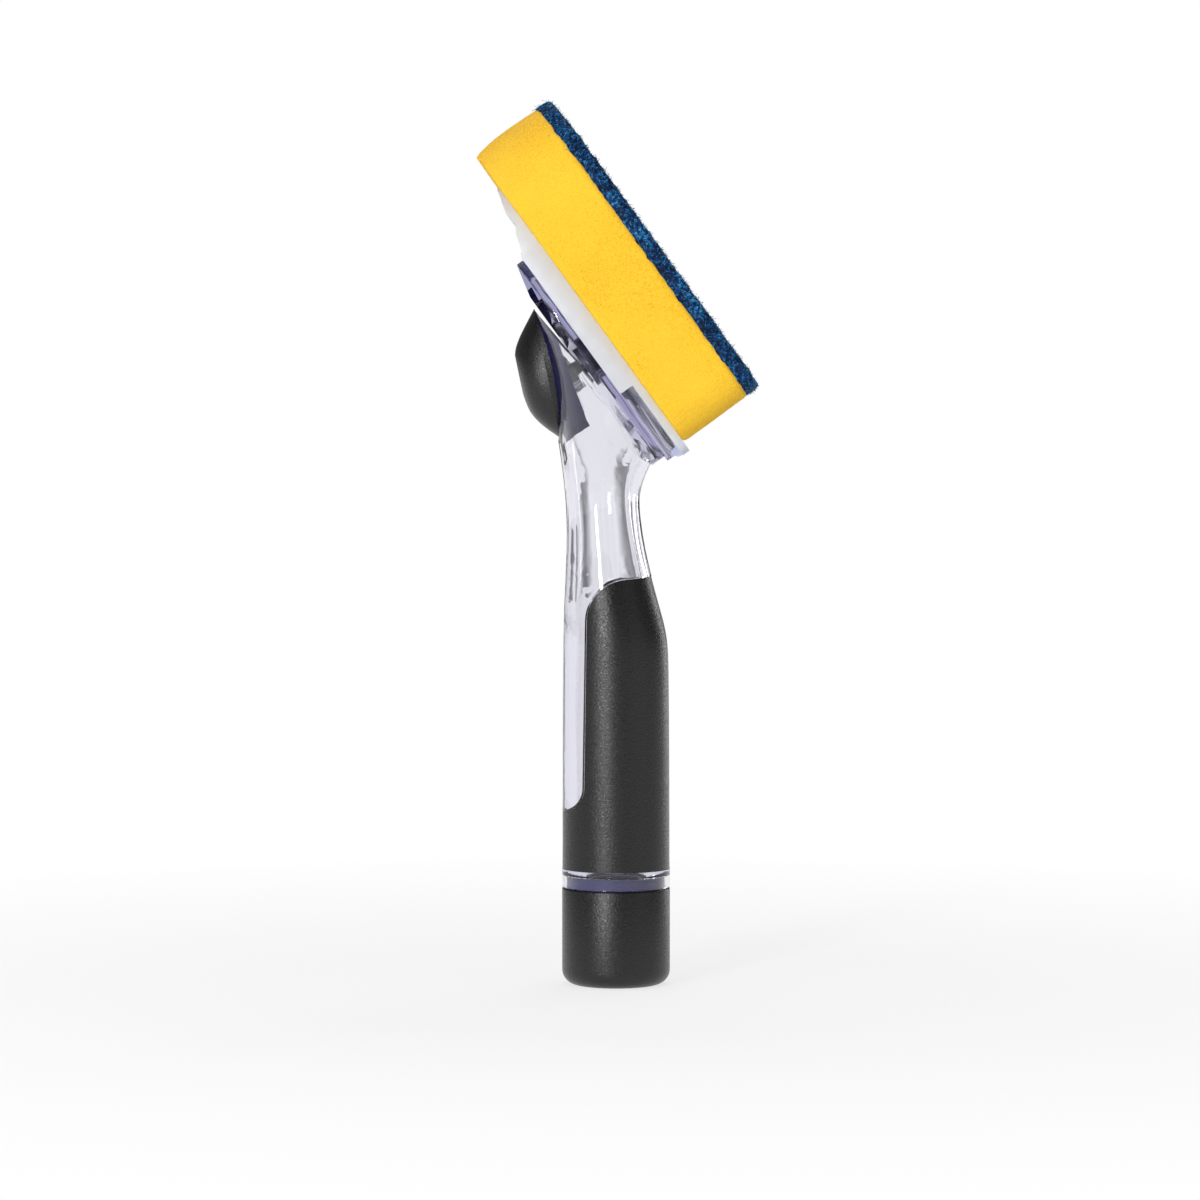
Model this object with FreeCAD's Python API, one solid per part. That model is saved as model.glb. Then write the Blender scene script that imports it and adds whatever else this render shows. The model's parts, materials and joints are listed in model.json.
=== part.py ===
import FreeCAD, Part
import math
import os
from FreeCAD import Placement, Rotation, Vector

# A dish wand that stands on its cap. Z runs up the handle, X points to the scrubbing side, millimetres.
# The head has its own frame: x runs down along the pad, z runs out of the pad face, and its origin
# is where the valve axis meets the face of the tongue.

# Screw cap
barrel_radius = 14.4
cap_height = 25.9
cap_edge_radius = 3.0
cover_thickness = 1.4
cover_floor = 1.6
core_wall = 1.2
core_floor = 2.0
plug_wall = 1.6
plug_gap = 0.5
plug_rise = 2.3
collar_rise = 2.7
collar_gap = 0.3
gasket_thickness = 2.0
gasket_gap = 0.2

# Screw thread
thread_pitch = 4.0
thread_depth = 0.9
thread_gap = 0.3
thread_root_width = 1.8
thread_crest_width = 1.0
thread_sink = 0.4
thread_start = 2.5
neck_turns = 1.5
cap_turns = 0.75
cap_lead_turns = 1.5

# Handle
ring_gap = 0.3
ring_height = 4.8
mouth_wall = 2.2
mouth_taper = 4.0
handle_length = 102.5
grip_thickness = 1.6
shell_wall = 2.0
neck_wall = 2.4
shoulder_share = 0.7

# Rows up the handle: height, then reach to the back, to the front and to each side
handle_shares = [
    (0.0, 1.0, 1.0, 1.0),
    (0.232, 0.998, 0.998, 0.998),
    (0.447, 0.99, 0.99, 0.99),
    (0.564, 0.982, 0.982, 0.982),
    (0.642, 0.979, 0.965, 0.978),
    (0.7, 0.97, 0.868, 0.955),
    (0.759, 0.948, 0.745, 0.905),
    (0.837, 0.925, 0.6, 0.81),
    (0.915, 0.903, 0.483, 0.72),
    (1.0, 0.924, 0.42, 0.68),
]

# Outline of the soft grip, seen from the side
grip_top = 76.6
grip_top_slope = 0.13
window_edge = 8.6
window_lean = 0.9
window_corner_radius = 11.0
window_foot = 15.2
window_foot_radius = 7.0

# Head
head_tilt = 36.0
head_rise = 40.7
head_offset = -3.4
head_side = 20.5
fan_low = 30.9
fan_low_depth = 5.1
fan_front_share = 0.12
fan_steps = 5
flange_width = 44.0
flange_corner_radius = 7.0
flange_low = 32.4
flange_top = 31.5
flange_bevel = 9.5
flange_height = 2.2
deck_thickness = 1.8

# Tongue
tongue_low = 33.8
tongue_top = 31.0
tongue_corner_radius = 8.0
waist_width = 31.0
waist_height = 1.7
foot_width = 37.0
foot_height = 2.0

# Thumb button
seat_low = 12.6
seat_low_depth = 23.1
seat_high = 19.3
seat_high_depth = 8.8
button_width = 20.0
button_height = 7.4
button_gap = 0.3
button_skin = 1.8
button_wall = 2.0
button_travel = 2.2
button_clearance = 0.4
skirt_low = 5.0
skirt_high = 0.2
well_wall = 1.6
well_floor = 1.3

# Rings up the button's hump: height, lower end, upper end and width
button_shares = [
    (0.0, 0.0, 1.0, 1.0),
    (0.33, 0.07, 0.915, 0.95),
    (0.63, 0.143, 0.84, 0.84),
    (0.85, 0.22, 0.77, 0.66),
    (0.95, 0.285, 0.73, 0.48),
    (1.0, 0.385, 0.69, 0.26),
]

# Valve
stem_radius = 1.8
stem_running_gap = 0.05
spigot_radius = 1.1
spigot_tail = 0.2
hub_radius = 4.8
hub_depth = 1.2
socket_depth = 1.4
boss_radius = 5.5
boss_margin = 0.4
guide_radius = 3.0
guide_flange_radius = 5.2
guide_flange = 1.2
guide_tail = 1.0
seal_pocket = 1.0
seal_wire_radius = 0.45
retainer_thickness = 0.8
retainer_gap = 0.3
seat_flange_radius = 7.6
seat_flange = 1.4
seat_face = 1.2
seat_radius = 6.2
seat_wall = 1.0
seat_recess = 0.3
port_radius = 3.0
poppet_radius = 4.4
poppet_thickness = 1.2
clip_radius = 2.6
clip_thickness = 0.8

# Return spring
spring_radius = 3.6
spring_wire_radius = 0.25
spring_turns = 3.5
spring_end_gap = 0.1

# Refill plate
slide_gap = 0.3
lip_gap = 0.2
plate_low = 35.0
plate_top = 50.8
plate_thickness = 2.2
plate_low_radius = 4.0
wall_low = 12.4
hood_start = 32.6
hood_step = 4.7
hood_brow = 8.8
hood_start_share = 0.18
hood_step_share = 0.41
hood_brow_share = 0.85
tab_width = 18.0
tab_bulb_radius = 1.9
tab_gap = 0.3
tab_reach = 46.0
soap_hole_radius = 5.0

# Sponge and scouring pad
sponge_low = 32.3
sponge_length = 94.2
sponge_width = 58.0
sponge_thickness = 19.5
sponge_corner_radius = 9.0
pad_thickness = 5.5

# Working values
overrun = 20.0
oval_count = 12
gap_samples = 40
right_angle = 90.0
up = Vector(0, 0, 1)

# Sizes that follow from the ones above
ring_low = cap_height + ring_gap
grip_low = ring_low + ring_height
collar_top = ring_low + collar_rise
neck_top = ring_low + handle_length
neck_radius = barrel_radius - cover_thickness - core_wall - thread_gap - thread_depth
mouth_radius = neck_radius - mouth_wall
core_radius = barrel_radius - cover_thickness
core_bore = core_radius - core_wall
gasket_low = cover_floor + core_floor
neck_end = gasket_low + gasket_thickness
handle_wall = grip_thickness + shell_wall
deck_bottom = -(foot_height + waist_height)
weld_plane = deck_bottom - deck_thickness
flange_back = weld_plane - flange_height
plate_face = slide_gap + plate_thickness
plate_width = flange_width
pad_face = plate_face + sponge_thickness
skirt_slope = (seat_low_depth - skirt_low - seat_high_depth + skirt_high) / (seat_low + seat_high)
head_turn = right_angle - head_tilt
head_frame = Placement(Vector(head_offset, 0, neck_top + head_rise), Rotation(Vector(0, 1, 0), head_turn))


def in_head(shape):
    placed = shape.copy()
    placed.Placement = head_frame.multiply(placed.Placement)
    return placed


def head_point(down, out):
    return head_frame.multVec(Vector(down, 0, out))


# Basic shapes

def oval_poles(first, last, side):
    along = (last - first) * 0.5
    across = Vector(0, side, 0)
    middle = (first + last) * 0.5
    turn = 2 * math.pi / oval_count
    swell = 3 / (2 + math.cos(turn))
    return [middle + (along * math.cos(turn * index) + across * math.sin(turn * index)) * swell
            for index in range(oval_count)]


def oval_face(row):
    curve = Part.BSplineCurve()
    knots = list(range(oval_count + 1))
    curve.buildFromPolesMultsKnots(oval_poles(*row), [1] * len(knots), knots, True, 3)
    return Part.Face(Part.Wire(curve.toShape()))


def skinned(rows):
    poles = [list(around) for around in zip(*[oval_poles(*row) for row in rows])]
    around_knots = list(range(oval_count + 1))
    along_knots = list(range(len(rows) - 2))
    along_mults = [4] + [1] * (len(along_knots) - 2) + [4]
    surface = Part.BSplineSurface()
    surface.buildFromPolesMultsKnots(poles, [1] * len(around_knots), along_mults,
                                     around_knots, along_knots, True, False, 3, 3)
    faces = [surface.toShape(), oval_face(rows[0]), oval_face(rows[-1])]
    shell = Part.makeShell(faces)
    shell.sewShape()
    solid = Part.makeSolid(shell)
    if solid.Volume < 0:
        solid.reverse()
    return solid


def corner_arc(before, corner, after, radius):
    back = (before - corner).normalize()
    ahead = (after - corner).normalize()
    half_angle = back.getAngle(ahead) / 2
    reach = radius / math.tan(half_angle)
    inset = radius / math.sin(half_angle) - radius
    middle = corner + (back + ahead).normalize() * inset
    return corner + back * reach, middle, corner + ahead * reach


def rounded_face(corners):
    edges = []
    stops = []
    for index, (corner, radius) in enumerate(corners):
        before = corners[index - 1][0]
        after = corners[(index + 1) % len(corners)][0]
        if radius > 0:
            start, middle, end = corner_arc(before, corner, after, radius)
            edges.append(Part.Arc(start, middle, end).toShape())
            stops.append((start, end))
        else:
            stops.append((corner, corner))
    for index, (start, end) in enumerate(stops):
        leave = stops[index - 1][1]
        if not leave.isEqual(start, spring_wire_radius / gap_samples):
            edges.append(Part.LineSegment(leave, start).toShape())
    return Part.Face(Part.Wire(Part.__sortEdges__(edges)))


def side_prism(points, width):
    corners = [(Vector(point[0], -width / 2, point[1]), point[2]) for point in points]
    return rounded_face(corners).extrude(Vector(0, width, 0))


def plan_prism(low, top, width, low_radius, top_radius, bottom, height):
    half = width / 2
    corners = [(Vector(low, -half, bottom), low_radius), (Vector(low, half, bottom), low_radius),
               (Vector(-top, half, bottom), top_radius), (Vector(-top, -half, bottom), top_radius)]
    return rounded_face(corners).extrude(Vector(0, 0, height))


def disc(radius, bottom, height):
    return Part.makeCylinder(radius, height, Vector(0, 0, bottom))


def ring(outer, inner, bottom, height):
    return disc(outer, bottom, height).cut(disc(inner, bottom - overrun, height + 2 * overrun))


# Handle and neck

def handle_rows(low_inset, high_inset):
    rows = []
    for height, back, front, side in handle_shares:
        level = ring_low + height * handle_length
        inset = low_inset if height < shoulder_share else high_inset
        first = Vector(inset - back * barrel_radius, 0, level)
        last = Vector(front * barrel_radius - inset, 0, level)
        rows.append((first, last, side * barrel_radius - inset))
    return rows


def bend(start, control, end, step):
    rest = 1 - step
    return start * (rest * rest) + control * (2 * rest * step) + end * (step * step)


def fan_rows(inset):
    rows = []
    top_row = handle_shares[-1]
    back_foot = Vector(-top_row[1] * barrel_radius, 0, neck_top)
    front_foot = Vector(top_row[2] * barrel_radius, 0, neck_top)
    back_end = head_point(-seat_high, -seat_high_depth)
    front_end = head_point(fan_low, -fan_low_depth)
    back_control = head_point(seat_low, -seat_low_depth)
    front_rise = (front_foot.z + front_end.z) / 2
    front_reach = front_foot.x + fan_front_share * (front_end.x - front_foot.x)
    front_control = Vector(front_reach, 0, front_rise)
    foot_side = top_row[3] * barrel_radius
    for index in range(fan_steps):
        step = (index + 1) / fan_steps
        first = bend(back_foot, back_control, back_end, step)
        last = bend(front_foot, front_control, front_end, step)
        inward = (last - first).normalize() * inset
        spread = step * step * (3 - 2 * step)
        side = foot_side + (head_side - foot_side) * spread
        rows.append((first + inward, last - inward, side - inset))
    return rows


def outer_form():
    return skinned(handle_rows(0, 0) + fan_rows(0))


def flange_form():
    profile = [(flange_low, weld_plane, 0), (-flange_top, weld_plane, 0),
               (flange_bevel - flange_top, flange_back, 0), (flange_low, flange_back, 0)]
    plan = plan_prism(flange_low, flange_top, flange_width, flange_corner_radius, flange_width / 2,
                      flange_back, flange_height)
    return in_head(side_prism(profile, flange_width + 2 * overrun).common(plan))


def round_row(radius, level):
    return Vector(-radius, 0, level), Vector(radius, 0, level), radius


def cavity_form():
    rows = handle_rows(handle_wall, neck_wall)
    room_radius = rows[0][2]
    foot = [round_row(mouth_radius - plug_gap, grip_low - mouth_taper),
            round_row(mouth_radius - plug_gap, grip_low),
            round_row(room_radius, grip_low + mouth_taper)]
    fan = fan_rows(neck_wall)
    drop = head_frame.Rotation.multVec(Vector(0, 0, overrun))
    return skinned(foot + rows[1:] + fan).fuse(oval_face(fan[-1]).extrude(drop))


def grip_prism():
    reach = barrel_radius + overrun
    top = grip_low + grip_top
    front_top = top + grip_top_slope * (reach - window_edge)
    foot = grip_low + window_foot
    points = [(reach, front_top, 0), (window_lean - window_edge, top, window_corner_radius),
              (-window_edge, foot, window_foot_radius), (-reach, foot, 0),
              (-reach, grip_low, 0), (reach, grip_low, 0)]
    return side_prism(points, 2 * reach)


def grip_sleeve(outer):
    core = skinned(handle_rows(grip_thickness, grip_thickness))
    return outer.common(grip_prism()).cut(core)


# Screw thread, a right-handed ridge on a helix

def thread_ridge(root, crest, level, turns):
    sink = thread_sink if root < crest else -thread_sink
    path = Part.makeHelix(thread_pitch, thread_pitch * turns, root)
    corners = [Vector(root - sink, 0, -thread_root_width / 2), Vector(crest, 0, -thread_crest_width / 2),
               Vector(crest, 0, thread_crest_width / 2), Vector(root - sink, 0, thread_root_width / 2)]
    profile = Part.makePolygon(corners + corners[:1])
    ridge = Part.Wire(path.Edges).makePipeShell([profile], True, True)
    return ridge.translated(Vector(0, 0, level))


def bottle_neck():
    tube = disc(neck_radius, neck_end, ring_low - neck_end)
    ridge = thread_ridge(neck_radius, neck_radius + thread_depth, neck_end + thread_start, neck_turns)
    return tube.fuse(ridge)


# Thumb button and its well, in the head frame

def skirt_line(down):
    return -seat_high_depth + skirt_high - skirt_slope * (down + seat_high)


def well_line(down):
    return skirt_line(down) + button_travel + button_clearance


def behind(line, width, deeper):
    low = seat_low + overrun
    high = -seat_high - overrun
    back = -seat_low_depth - 2 * overrun
    points = [(low, line(low) + deeper, 0), (high, line(high) + deeper, 0), (high, back, 0), (low, back, 0)]
    return side_prism(points, width)


def seat_direction():
    low = Vector(seat_low, 0, -seat_low_depth)
    high = Vector(-seat_high, 0, -seat_high_depth)
    along = (high - low).normalize()
    return low, along, (high - low).Length, along.cross(Vector(0, 1, 0)).normalize()


def button_row(inset, row):
    height, lower, upper, width = row
    low, along, length, out = seat_direction()
    run = length - 2 * inset
    level = low + along * inset + out * (height * (button_height - max(inset, 0)))
    side = width * (button_width / 2 - inset)
    return level + along * (lower * run), level + along * (upper * run), side


def button_column(inset):
    return oval_face(button_row(inset, button_shares[0])).extrude(Vector(0, 0, seat_low_depth))


def button_form(inset):
    hump = skinned([button_row(inset, row) for row in button_shares])
    skirt = button_column(inset).common(behind(skirt_line, button_width + overrun, 0))
    return hump.fuse(skirt).removeSplitter()


def well_column(grow):
    base = oval_face(button_row(-grow, button_shares[0]))
    rise = Vector(0, 0, -button_height - overrun)
    return base.extrude(Vector(0, 0, seat_low_depth)).fuse(base.extrude(rise))


def well_block(outer):
    block = well_column(button_gap + well_wall).common(behind(well_line, button_width + overrun, well_floor))
    top = weld_plane - well_line(0) + overrun
    block = block.cut(Part.makeBox(2 * overrun + seat_high, 2 * overrun, top,
                                   Vector(-seat_high - overrun, -overrun, weld_plane)))
    return in_head(block).common(outer)


def well_room():
    return in_head(well_column(button_gap).common(behind(well_line, button_width + overrun, 0)))


# Stack of the valve, by height along the stem
boss_face = well_line(boss_radius) - boss_margin
guide_face = boss_face - guide_flange
retainer_face = guide_face - retainer_thickness
seat_back = weld_plane - seat_flange
poppet_back = seat_back + seat_face
clip_back = poppet_back + poppet_thickness
stem_end = clip_back + clip_thickness + spigot_tail
groove_depth = tab_bulb_radius - slide_gap + tab_gap + lip_gap


def button_ceiling(inset):
    low, along, length, out = seat_direction()
    crown = low + along * (-low.x / along.x)
    return crown.z + (button_height - inset) / out.z


hub_top = button_ceiling(button_skin)
spring_seat = hub_top + button_wall + hub_depth


def reservoir_body(outer, grip):
    shell = outer.fuse(flange_form()).cut(grip).cut(cavity_form())
    boss = in_head(disc(boss_radius, boss_face, well_line(-boss_radius) - boss_face + well_floor))
    shell = shell.fuse([bottle_neck(), well_block(outer)]).cut(well_room()).fuse(boss)
    hole = in_head(disc(guide_radius, boss_face - overrun, overrun + weld_plane - boss_face))
    mouth = disc(mouth_radius, neck_end - overrun, overrun + grip_low - neck_end)
    weld = in_head(Part.makeBox(2 * flange_width, 2 * flange_width, overrun,
                                Vector(-flange_width, -flange_width, weld_plane)))
    collar_room = ring(core_radius + collar_gap, core_bore - collar_gap, cap_height,
                       collar_top + collar_gap - cap_height)
    return shell.cut([hole, mouth, weld, collar_room])


def tongue_plate():
    deck = plan_prism(flange_low, flange_top, flange_width, flange_corner_radius, flange_width / 2,
                      weld_plane, deck_thickness)
    waist = plan_prism(tongue_low, tongue_top, waist_width, 0, tongue_corner_radius, deck_bottom, waist_height)
    foot = plan_prism(tongue_low, tongue_top, foot_width, 0, tongue_corner_radius, -foot_height, foot_height)
    groove_width = tab_width + 2 * tab_gap
    groove_end = tab_reach - plate_low + 2 * tab_bulb_radius + tab_gap
    groove = Part.makeBox(tongue_low + groove_end + overrun, groove_width, groove_depth + overrun,
                          Vector(-groove_end, -groove_width / 2, -groove_depth))
    bore = disc(seat_radius, weld_plane - overrun, 2 * overrun)
    return in_head(deck.fuse([waist, foot]).cut([groove, bore]).removeSplitter())


def button_core():
    core = button_form(button_skin)
    hollow = button_form(button_skin + button_wall)
    sweep = button_column(button_skin + button_wall)
    hub = disc(hub_radius, hub_top, spring_seat - hub_top).common(core)
    pocket = disc(hub_radius, spring_seat, overrun)
    socket = disc(stem_radius, spring_seat - socket_depth, overrun)
    return in_head(core.cut([hollow, sweep]).fuse(hub).cut([pocket, socket]))


def button_cap():
    whole = button_form(0)
    inner = button_form(button_skin)
    sweep = button_column(button_skin)
    return in_head(whole.cut([inner, sweep]))


def plunger_stem():
    start = spring_seat - socket_depth
    rod = disc(stem_radius, start, poppet_back - start)
    return in_head(rod.fuse(disc(spigot_radius, poppet_back, stem_end - poppet_back)))


def stem_guide():
    tail = well_line(0) + well_floor + guide_tail
    flange = disc(guide_flange_radius, guide_face, guide_flange)
    tube = disc(guide_radius, boss_face, tail - boss_face)
    pocket = disc(stem_radius + stem_running_gap + 2 * seal_wire_radius, guide_face, seal_pocket)
    bore = disc(stem_radius + stem_running_gap, guide_face - overrun, 2 * overrun + tail - guide_face)
    return in_head(flange.fuse(tube).cut([pocket, bore]))


def stem_seal():
    middle = stem_radius + stem_running_gap + seal_wire_radius
    return in_head(Part.makeTorus(middle, seal_wire_radius, Vector(0, 0, guide_face + seal_pocket / 2)))


def seal_retainer():
    return in_head(ring(guide_flange_radius, stem_radius + retainer_gap, retainer_face, retainer_thickness))


def outlet_seat():
    flange = disc(seat_flange_radius, seat_back, seat_flange)
    tube = disc(seat_radius, weld_plane, -groove_depth - seat_recess - weld_plane)
    port = disc(port_radius, seat_back - overrun, 2 * overrun)
    room = disc(seat_radius - seat_wall, poppet_back, overrun)
    return in_head(flange.fuse(tube).cut([port, room]))


def valve_poppet():
    return in_head(ring(poppet_radius, spigot_radius, poppet_back, poppet_thickness))


def poppet_clip():
    return in_head(ring(clip_radius, spigot_radius, clip_back, clip_thickness))


# Return spring: an unbroken wire on pairs of arcs, a quarter turn for each pair

def spring_point(turn):
    angle = 2 * math.pi * turn
    low = spring_seat + spring_end_gap + spring_wire_radius
    rise = retainer_face - spring_seat - 2 * (spring_end_gap + spring_wire_radius)
    level = low + rise * turn / spring_turns
    return Vector(spring_radius * math.cos(angle), spring_radius * math.sin(angle), level)


def spring_heading(turn):
    angle = 2 * math.pi * turn
    rise = retainer_face - spring_seat - 2 * (spring_end_gap + spring_wire_radius)
    around = 2 * math.pi * spring_radius
    return Vector(-around * math.sin(angle), around * math.cos(angle), rise / spring_turns).normalize()


def arc_from(start, heading, end):
    chord = end - start
    run = chord.Length
    chord = chord * (1 / run)
    lean = heading.getAngle(chord)
    rise = heading - chord * heading.dot(chord)
    middle = (start + end) * 0.5 + rise.normalize() * (run / 2 * math.tan(lean / 2))
    return Part.Arc(start, middle, end).toShape()


def arc_pair(first_turn, last_turn):
    start = spring_point(first_turn)
    end = spring_point(last_turn)
    leave = spring_heading(first_turn)
    arrive = spring_heading(last_turn)
    span = end - start
    both = leave + arrive
    spread = 1 - leave.dot(arrive)
    reach = (math.sqrt(span.dot(both) ** 2 + 2 * spread * span.dot(span)) - span.dot(both)) / (2 * spread)
    joint = (start + end + (leave - arrive) * reach) * 0.5
    return [arc_from(start, leave, joint), arc_from(end, arrive * -1, joint)]


def spring_gap(edges):
    points = []
    for edge in edges:
        points += edge.discretize(gap_samples)[:-1]
    half_turn = gap_samples * 4
    least = min((points[i] - points[j]).Length for i in range(0, len(points), 4)
                for j in range(i + half_turn, len(points), 4))
    return least - 2 * spring_wire_radius


def return_spring():
    edges = []
    quarters = round(spring_turns * 4)
    for quarter in range(quarters):
        edges += arc_pair(quarter / 4, (quarter + 1) / 4)
    print("spring's least gap to itself", round(spring_gap(edges), 3))
    path = Part.Wire(Part.__sortEdges__(edges))
    section = Part.Circle(spring_point(0), spring_heading(0), spring_wire_radius).toShape()
    return in_head(path.makePipeShell([Part.Wire(section)], True, False))


# Screw cap

def cap_cover():
    body = disc(barrel_radius, 0, cap_height)
    foot = [edge for edge in body.Edges if edge.BoundBox.ZMax < cap_edge_radius]
    body = body.makeFillet(cap_edge_radius, foot)
    return body.cut(disc(core_radius, cover_floor, cap_height))


def cap_core():
    cup = disc(core_radius, cover_floor, collar_top - cover_floor)
    cup = cup.cut(disc(core_bore, gasket_low, collar_top))
    plug_radius = mouth_radius - plug_gap
    plug = ring(plug_radius, plug_radius - plug_wall, gasket_low, ring_low + plug_rise - gasket_low)
    level = neck_end + thread_start + thread_pitch * cap_lead_turns
    crest = neck_radius + thread_gap
    ridge = thread_ridge(core_bore, crest, level, cap_turns)
    return cup.fuse([plug, ridge])


def cap_gasket():
    return ring(core_bore - gasket_gap, mouth_radius + gasket_gap, gasket_low, gasket_thickness)


# Refill, in the head frame

def hood_height(share):
    top = deck_bottom + lip_gap
    return top + share * (plate_face - top)


def refill_plate():
    top = deck_bottom + lip_gap
    profile = [(wall_low, top, 0), (-hood_start, top, 0), (-hood_start, hood_height(hood_start_share), 0),
               (-hood_start - hood_step, hood_height(hood_step_share), 0),
               (-hood_start - hood_brow, hood_height(hood_brow_share), 0),
               (-plate_top, plate_face, 0), (wall_low, plate_face, 0)]
    plan = plan_prism(plate_low, plate_top, plate_width, plate_low_radius, plate_width / 2,
                      top, plate_face - top)
    base = plan_prism(plate_low, plate_top, plate_width, plate_low_radius, plate_width / 2,
                      slide_gap, plate_thickness)
    rails = side_prism(profile, plate_width + overrun).common(plan)
    pocket_low = plate_low + overrun
    foot_room = plan_prism(pocket_low, tongue_top + slide_gap, foot_width + 2 * slide_gap, 0,
                           tongue_corner_radius + slide_gap, -foot_height - slide_gap, foot_height + 2 * slide_gap)
    waist_room = plan_prism(pocket_low, tongue_top + slide_gap, waist_width + 2 * slide_gap, 0,
                            tongue_corner_radius + slide_gap, top, waist_height)
    bulb = Part.makeCylinder(tab_bulb_radius, tab_width, Vector(plate_low - tab_bulb_radius, -tab_width / 2,
                             slide_gap), Vector(0, 1, 0))
    hole = disc(soap_hole_radius, -overrun, 2 * overrun)
    return in_head(rails.cut([foot_room, waist_room]).fuse([base, bulb]).cut(hole))


def sponge_plan(bottom, height):
    return plan_prism(sponge_low, sponge_length - sponge_low, sponge_width, sponge_corner_radius,
                      sponge_width / 2, bottom, height)


def sponge():
    return in_head(sponge_plan(plate_face, sponge_thickness))


def scour_pad():
    return in_head(sponge_plan(pad_face, pad_thickness))


def write(name, shape):
    solids = shape.Solids
    result = solids[0] if len(solids) == 1 else Part.makeCompound(solids)
    print(name, len(solids), "solid", shape.isValid(), round(shape.Volume))
    result.exportStep("parts/" + name + ".step")


def build():
    os.makedirs("parts", exist_ok=True)
    outer = outer_form()
    grip = grip_sleeve(outer)
    write("reservoir_body", reservoir_body(outer, grip))
    write("grip_sleeve", grip)
    write("tongue_plate", tongue_plate())
    write("button_cap", button_cap())
    write("button_core", button_core())
    write("plunger_stem", plunger_stem())
    write("stem_guide", stem_guide())
    write("stem_seal", stem_seal())
    write("seal_retainer", seal_retainer())
    write("outlet_seat", outlet_seat())
    write("valve_poppet", valve_poppet())
    write("poppet_clip", poppet_clip())
    write("return_spring", return_spring())
    write("cap_cover", cap_cover())
    write("cap_core", cap_core())
    write("cap_gasket", cap_gasket())
    write("refill_plate", refill_plate())
    write("sponge", sponge())
    write("scour_pad", scour_pad())


build()
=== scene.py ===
import bpy
import bmesh
import json
import math
import random
from mathutils import Matrix, Vector, noise
from mathutils.bvhtree import BVHTree


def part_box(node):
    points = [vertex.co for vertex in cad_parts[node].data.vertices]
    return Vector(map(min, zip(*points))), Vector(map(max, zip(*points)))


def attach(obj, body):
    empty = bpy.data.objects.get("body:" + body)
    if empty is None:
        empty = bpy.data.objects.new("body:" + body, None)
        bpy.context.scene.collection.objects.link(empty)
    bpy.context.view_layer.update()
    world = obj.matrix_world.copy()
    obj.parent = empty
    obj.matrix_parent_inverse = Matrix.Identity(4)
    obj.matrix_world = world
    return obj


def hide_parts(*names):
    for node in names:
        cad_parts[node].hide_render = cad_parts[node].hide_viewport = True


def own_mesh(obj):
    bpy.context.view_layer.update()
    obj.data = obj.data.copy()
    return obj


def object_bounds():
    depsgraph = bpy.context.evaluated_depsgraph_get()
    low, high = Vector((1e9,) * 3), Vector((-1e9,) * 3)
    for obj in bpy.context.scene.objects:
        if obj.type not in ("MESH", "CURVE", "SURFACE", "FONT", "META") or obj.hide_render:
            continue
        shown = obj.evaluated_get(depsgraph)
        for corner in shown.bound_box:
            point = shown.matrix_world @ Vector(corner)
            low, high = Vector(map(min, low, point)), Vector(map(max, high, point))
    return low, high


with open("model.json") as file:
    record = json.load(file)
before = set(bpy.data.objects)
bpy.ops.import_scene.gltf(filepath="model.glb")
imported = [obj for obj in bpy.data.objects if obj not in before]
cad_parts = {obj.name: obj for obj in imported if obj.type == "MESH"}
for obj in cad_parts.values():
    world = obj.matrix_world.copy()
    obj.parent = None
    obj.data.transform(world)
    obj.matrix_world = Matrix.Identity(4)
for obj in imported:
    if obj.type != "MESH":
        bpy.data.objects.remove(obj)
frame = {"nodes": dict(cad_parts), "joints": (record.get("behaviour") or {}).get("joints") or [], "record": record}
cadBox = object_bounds()
mm = 0.001
random.seed(12)
joints = {joint["name"]: joint for joint in frame["joints"]}
bodies = frame["record"]["behaviour"]["bodies"]
bodyOf = {node: body for body, nodes in bodies.items() for node in nodes}
print("frame loaded,", len(frame["nodes"]), "nodes")

# The head leans: its pieces are made flat along the pad, x down, z out of the pad, then turned into place
padOut = Vector(joints["button_press"]["axis"]).normalized()
padUp = Vector(joints["refill_slide"]["axis"]).normalized()
headTurn = Matrix((-padUp, padOut.cross(-padUp), padOut)).transposed().to_4x4()


def headBox(node):
    flat = headTurn.transposed()
    spots = [flat @ vertex.co for vertex in frame["nodes"][node].data.vertices]
    low = Vector([min(spot[side] for spot in spots) for side in range(3)])
    high = Vector([max(spot[side] for spot in spots) for side in range(3)])
    return low, high


# Camera at the photograph's angle: from the side, far off and a little raised
viewFrom = dict(aim=(-4.28 * mm, 0.0, 102.6 * mm), distance=1200 * mm, raised=math.radians(2.5),
                lens=135.2, sensor=36.0, nearest=10 * mm)


def placeCamera():
    data = bpy.data.cameras.new("photoCamera")
    data.lens = viewFrom["lens"]
    data.sensor_width = viewFrom["sensor"]
    data.clip_start = viewFrom["nearest"]
    camera = bpy.data.objects.new("photoCamera", data)
    back = Vector((0, -math.cos(viewFrom["raised"]), math.sin(viewFrom["raised"])))
    camera.location = Vector(viewFrom["aim"]) + back * viewFrom["distance"]
    camera.rotation_euler = (math.pi / 2 - viewFrom["raised"], 0, 0)
    bpy.context.scene.collection.objects.link(camera)
    bpy.context.scene.camera = camera


placeCamera()
print("camera placed")


# Finishes
def startFinish(name, sockets):
    finish = bpy.data.materials.new(name)
    finish.use_nodes = True
    shader = finish.node_tree.nodes["Principled BSDF"]
    for socket, value in sockets.items():
        shader.inputs[socket].default_value = value
    return finish, finish.node_tree, shader


def addNode(tree, kind, sockets=None, **settings):
    node = tree.nodes.new(kind)
    for name, value in settings.items():
        setattr(node, name, value)
    for socket, value in (sockets or {}).items():
        node.inputs[socket].default_value = value
    return node


def objectSpot(tree):
    return addNode(tree, "ShaderNodeTexCoord").outputs["Object"]


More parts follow.
